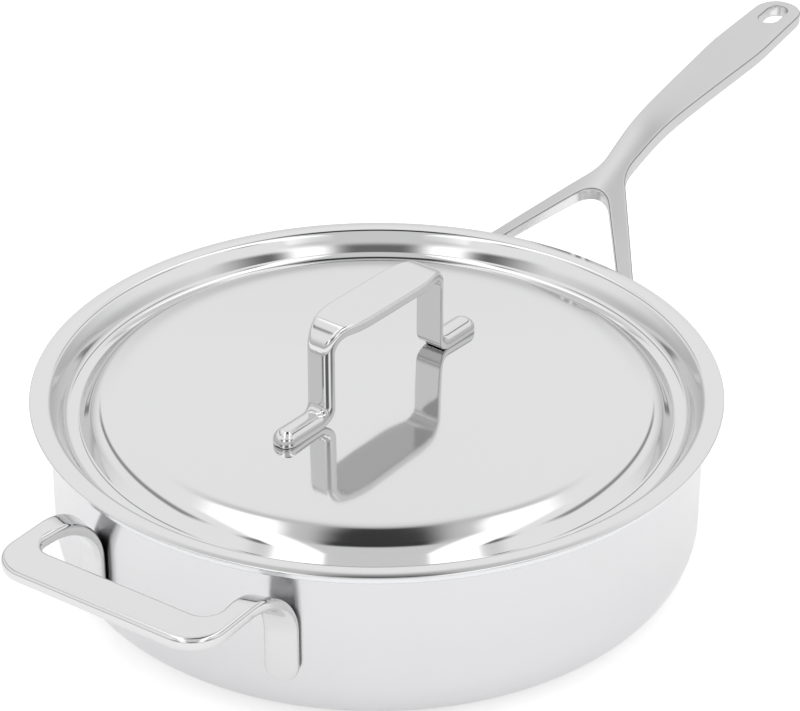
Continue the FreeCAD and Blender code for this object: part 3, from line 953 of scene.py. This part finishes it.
@dataclass
class BridgeHandle(Piece):
    """Handle across the lid: bullet-nosed feet, two legs and a broad top.

    A rounded rectangle is carried along the side view between the outer and the inner
    face, and its half width follows the plan.
    """

    name, node, body, finish = "lid_bridge_handle", "lid_handle", Body.LID, BRIDGE_STEEL
    seat: float = 81.5
    height: float = 45.5
    half_length: float = 67.0
    half_span: float = 41.3
    foot_thickness: float = 6.2
    leg_thickness: float = 4.6
    top_corner: float = 11.5
    foot_corner: float = 3.6
    end_half: float = 5.8
    top_half: float = 11.2
    top_half_length: float = 24.0
    nose: float = 5.7
    nose_top: float = 4.9
    nose_low: float = 1.2
    foot_round: float = 4.4
    leg_round: float = 3.2
    top_round: float = 1.2
    inner_round: float = 0.9
    waist_round: float = 14.0
    shoulder_round: float = 50.0
    outer_share: float = 0.74
    inner_share: float = 0.24
    fullness: float = 0.98
    bend_points: int = 15
    run_points: int = 12
    strip_points: int = 9
    turn: float = -3.7

    def half_width(self, x: Array) -> Array:
        """Half width over X: slim legs, a straight taper and a broad top with eased corners."""
        plan = rounded_path([(self.half_length, self.end_half), (self.half_span, self.end_half),
                             (self.top_half_length, self.top_half), (0, self.top_half)],
                            [self.waist_round, self.shoulder_round], FINE_STEP)
        return np.interp(x, plan[::-1, 0], plan[::-1, 1])

    def sides(self) -> tuple[Array, Array, Array, Array]:
        """Outer face, inner face, narrowing and rounding at stations from the nose to the middle.

        Returns:
            Points (x, z) of both faces, the share of the half width that is left, and
            the rounding of the outer edges.
        """
        tilt = np.linspace(np.pi / 2, 0, self.bend_points)
        nose_x = self.half_length - self.nose * (1 - np.sin(tilt))
        gap = self.half_length - nose_x
        narrow = (self.end_half - self.nose + self.nose * np.cos(tilt)) / self.end_half
        bend = np.linspace(0, np.pi / 2, self.bend_points)
        share = np.linspace(0, 1, self.run_points + 2)[1:-1, None]
        knee_x, top_x = self.half_span + self.foot_corner, self.half_span - self.top_corner
        top_z = self.seat + self.height - self.top_corner

        def sink(radius: float) -> Array:
            """Drop of a rounded end of a radius at the nose stations."""
            return radius - np.sqrt(np.maximum(radius**2 - np.maximum(radius - gap, 0) ** 2, 0))

        def face(foot: float, drop: Array, low: float, high: float) -> Array:
            """Face from its height on the foot, drop at the nose, knee radius and top radius."""
            knee = np.stack([knee_x - low * np.sin(bend), foot + low * (1 - np.cos(bend))], axis=1)
            corner = np.stack([top_x + high * np.cos(bend), top_z + high * np.sin(bend)], axis=1)
            parts = [np.stack([nose_x, foot + drop], axis=1)]
            for part in (knee, corner, np.array([[0, top_z + high]])):
                start = parts[-1][-1]
                parts += [start + share * (part[0] - start), part]
            return np.concatenate(parts)

        thin = self.leg_thickness
        faces = [face(self.seat + self.foot_thickness, -sink(self.nose_top), self.foot_corner, self.top_corner),
                 face(self.seat, sink(self.nose_low), self.foot_corner + thin, self.top_corner - thin)]
        left = np.ones(len(faces[0]))
        left[:len(narrow)] = narrow
        runs = [len(narrow) + len(share), len(bend), len(share), len(bend), len(share) + 1]
        marks = np.cumsum([0, *runs])[1:-1]
        rounds = [self.foot_round, self.leg_round, self.leg_round, self.top_round]
        return faces[0], faces[1], left, np.interp(np.arange(len(left)), marks, rounds)

    def grids(self) -> list[Array]:
        """Rounded rectangle along the half handle, mirrored and turned with the lid."""
        outer, inner, left, rounds = self.sides()
        thick = np.linalg.norm(inner - outer, axis=1)
        slim = left * np.minimum(self.half_width(outer[:, 0]), self.half_width(inner[:, 0]))
        outer_radius, inner_radius = (
            np.minimum(most, np.minimum(slim, thick * share) * self.fullness)[:, None]
            for most, share in ((rounds, self.outer_share), (self.inner_round, self.inner_share)))
        angle = np.linspace(0, np.pi / 2, self.strip_points)
        narrow, fall = 1 - np.sin(angle), 1 - np.cos(angle)
        inset = np.concatenate([narrow * outer_radius, narrow[::-1] * inner_radius], axis=1)
        depth = np.concatenate([fall * outer_radius, thick[:, None] - fall[::-1] * inner_radius], axis=1)
        share = depth / thick[:, None]
        flat = outer[:, None] + share[..., None] * (inner - outer)[:, None]
        wide = self.half_width(flat[..., 0]) * left[:, None] - inset
        strip = np.stack([flat[..., 0], wide, flat[..., 1]], axis=-1)
        across = np.linspace(1, -1, self.strip_points)[None, :, None]
        flat, sideways = np.array([1.0, 0.0, 1.0]), np.array([0.0, 1.0, 0.0])
        faces = [line * flat + line * sideways * across for line in (strip[:, :1], strip[:, -1:])]
        tip = np.concatenate([strip[:1], strip[:1] * flat], axis=0)
        half = [*mirrored([strip, tip], 1), *faces]
        return [turned(grid, self.turn) for grid in mirrored(half, 0)]


# Studio

class Light(Enum):
    """Levels of the surround, 1 being white."""

    SURROUND = 1.06
    HORIZON = 0.62
    CEILING = 0.7
    LENS_SIDE = 0.79
    PANEL = 1.65
    FRAME = 0.36
    GAP = 0.05
    LENS = 0.18


class Measure(Enum):
    """Measures of a direction, the last four taken on a level ceiling."""

    ACROSS = "sideways, either way"
    FRONT = "towards the camera's side"
    HEIGHT = "upwards"
    U = "across over height"
    V = "front over height"
    FAN = "u less a small share of v"
    SPREAD = "u less a larger share of v"


@dataclass(frozen=True)
class Fade:
    """Smooth change along a measure, from nothing at the start to all at the end."""

    measure: Measure
    start: float
    end: float


@dataclass(frozen=True)
class Patch:
    """Patch of the surround that has its own light where all of its fades are full."""

    name: str
    light: Light
    fades: tuple[Fade, ...]


ACROSS, FRONT, HEIGHT, U, V, FAN, SPREAD = Measure
FAN_SHARE, SPREAD_SHARE, LEAST_HEIGHT = 0.1, 0.22, 0.05
ABOVE_HORIZON, OVERHEAD = Fade(HEIGHT, 0.06, 0.5), Fade(HEIGHT, 0.2, 0.35)
PATCHES = (
    Patch("ceiling over the back", Light.CEILING, (OVERHEAD, Fade(V, -1.32, -1.1), Fade(U, 0.3, 0.14))),
    Patch("grey side of the lens", Light.LENS_SIDE,
          (Fade(FRONT, 0.2, 0.34), Fade(ACROSS, 0.5, 0.3), Fade(HEIGHT, 0.3, 0.5))),
    Patch("grey between the gap and that side", Light.LENS_SIDE,
          (OVERHEAD, Fade(V, -0.3, -0.1), Fade(FAN, 0.24, 0.19), Fade(FRONT, 0.34, 0.2))),
    Patch("bright panels overhead", Light.PANEL,
          (OVERHEAD, Fade(FAN, 0.205, 0.24), Fade(SPREAD, 0.5, 0.43), Fade(V, -1.1, -0.98), Fade(V, 1.0, 0.75))),
    Patch("frames beside the panels", Light.FRAME,
          (OVERHEAD, Fade(U, 0.56, 0.72), Fade(U, 0.96, 0.8), Fade(V, -2.0, -1.5), Fade(V, -0.02, -0.25))),
    Patch("gap between the panels", Light.GAP,
          (OVERHEAD, Fade(FAN, 0.19, 0.13), Fade(V, -1.16, -1.02), Fade(V, -0.08, -0.3))),
    Patch("dark edges of the panels", Light.LENS,
          (Fade(SPREAD, 0.435, 0.47), Fade(SPREAD, 0.66, 0.5), Fade(V, 0.02, 0.2), Fade(V, 0.5, 0.3))),
    Patch("bright sheets beside the lens", Light.PANEL,
          (Fade(ACROSS, 0.16, 0.36), Fade(ACROSS, 0.58, 0.42), Fade(FRONT, 0.4, 0.55),
           Fade(HEIGHT, 0.16, 0.3), Fade(HEIGHT, 0.64, 0.46))),
    Patch("dark edges of the sheets", Light.LENS,
          (Fade(ACROSS, 0.44, 0.6), Fade(ACROSS, 0.9, 0.6), Fade(FRONT, 0.3, 0.5),
           Fade(HEIGHT, 0.2, 0.34), Fade(HEIGHT, 0.56, 0.44))),
    Patch("dark about the lens", Light.LENS,
          (Fade(ACROSS, 0.34, 0.12), Fade(FRONT, 0.3, 0.5), Fade(HEIGHT, 0.18, 0.38), Fade(HEIGHT, 0.64, 0.46))),
)


@dataclass(frozen=True)
class Studio:
    """White surround with bright panels and dark patches, a floor and a camera."""

    eye: tuple = (-0.92445, -0.64730, 0.75019)
    right: tuple = (0.56693, -0.82377, 0.00143)
    up: tuple = (0.41235, 0.28529, 0.86520)
    forward: tuple = (0.71314, 0.48992, -0.50142)
    lens: float = 135.0
    sensor: float = 36.0
    clip_end: float = 50.0
    floor_half: float = 12.0
    floor_height: float = -0.00005
    floor_grey: float = 0.82
    floor_roughness: float = 0.9
    floor_seen: float = 0.46
    floor_mirrored: float = 0.38
    floor_fade: tuple = (-0.28, -0.05)

    def sideways(self) -> tuple:
        """Level direction to the right of the view."""
        flat = math.hypot(self.right[0], self.right[1])
        return (self.right[0] / flat, self.right[1] / flat, 0)

    def front(self) -> tuple:
        """Level direction towards the camera's side."""
        x, y, _ = self.sideways()
        return (y, -x, 0)

    def camera(self) -> None:
        """Camera at the photograph's angle."""
        data = bpy.data.cameras.new("camera")
        data.lens, data.sensor_width, data.clip_end = self.lens, self.sensor, self.clip_end
        camera = bpy.data.objects.new("camera", data)
        columns = [Vector(self.right), Vector(self.up), -Vector(self.forward)]
        camera.matrix_world = Matrix.Translation(self.eye) @ Matrix(columns).transposed().to_4x4()
        bpy.context.scene.collection.objects.link(camera)
        bpy.context.scene.camera = camera

    def floor(self) -> None:
        """Pale floor that keeps the shadow and is white where nothing shades it."""
        corners = np.array([[-1, -1], [1, -1], [1, 1], [-1, 1]]) * self.floor_half
        mesh = bpy.data.meshes.new("floor")
        mesh.from_pydata(np.column_stack([corners, np.full(4, self.floor_height)]).tolist(), [], [(0, 1, 2, 3)])
        floor = bpy.data.objects.new("floor", mesh)
        bpy.context.scene.collection.objects.link(floor)
        material = bpy.data.materials.new("floor_paper")
        material.use_nodes = True
        bench = NodeBench(material.node_tree)
        rays = bench.nodes.new("ShaderNodeLightPath").outputs
        ahead = bench.along(bench.place("Object"), self.front())
        near = bench.ramp(ahead, *self.floor_fade, 0.0, self.floor_mirrored, smooth=True)
        lift = bench.math("MULTIPLY", rays["Is Glossy Ray"], near)
        seen = bench.math("MAXIMUM", rays["Is Camera Ray"], rays["Is Transmission Ray"])
        strength = bench.math("MULTIPLY_ADD", seen, self.floor_seen, lift)
        bench.fill(bench.nodes["Principled BSDF"], {
            "Base Color": grey(self.floor_grey), "Roughness": self.floor_roughness, "Specular IOR Level": 0.0,
            "Emission Color": grey(1.0), "Emission Strength": strength})
        mesh.materials.append(material)

    def world(self) -> None:
        """Surround that is white, greyer towards the horizon, and has the patches in their order."""
        world = bpy.data.worlds.new("studio")
        bpy.context.scene.world = world
        world.use_nodes = True
        bench = NodeBench(world.node_tree)
        view = bench.place("Generated")
        axes = (self.sideways(), self.front(), (0, 0, 1))
        side, front, height = (bench.along(view, axis) for axis in axes)
        across, above = bench.math("ABSOLUTE", side), bench.math("MAXIMUM", height, LEAST_HEIGHT)
        u, v = (bench.math("DIVIDE", part, above) for part in (across, front))
        fan, spread = (bench.math("MULTIPLY_ADD", v, -share, u) for share in (FAN_SHARE, SPREAD_SHARE))
        measures = dict(zip(Measure, (across, front, height, u, v, fan, spread)))

        def share(fade: Fade) -> Socket:
            """How far a fade has come in a direction."""
            return bench.ramp(measures[fade.measure], fade.start, fade.end, smooth=True)

        low, rise = Light.HORIZON.value, Light.SURROUND.value - Light.HORIZON.value
        level = bench.math("MULTIPLY_ADD", share(ABOVE_HORIZON), rise, low)
        for patch in PATCHES:
            mask = reduce(lambda first, second: bench.math("MULTIPLY", first, second), map(share, patch.fades))
            level = bench.mix(mask, level, patch.light.value)
            level.node.label = patch.name
        camera_ray = bench.nodes.new("ShaderNodeLightPath").outputs["Is Camera Ray"]
        seen = bench.math("MULTIPLY_ADD", bench.math("SUBTRACT", 1.0, level), camera_ray, level)
        bench.fill(bench.nodes["Background"], {"Color": grey(1.0), "Strength": seen})

    def build(self) -> None:
        """Set up the camera, floor and surround."""
        self.camera()
        self.floor()
        self.world()
        bpy.context.scene.view_settings.view_transform = "Standard"


def main() -> None:
    """Build every sub-assembly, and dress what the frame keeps."""
    logging.basicConfig(level=logging.INFO, format="%(message)s")
    groups = SteelGroups()
    for part in (PanBody(), LongHandle(), HelperHandle(), Lid(), BridgeHandle()):
        part.build(groups)
    for node in ("long_handle_welds", "helper_handle_welds", "lid_handle_welds"):
        dress(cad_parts[node], WELD_STEEL, groups)
        LOG.info("%s keeps its frame mesh", node)
    Studio().build()


if __name__ == "__main__":
    main()
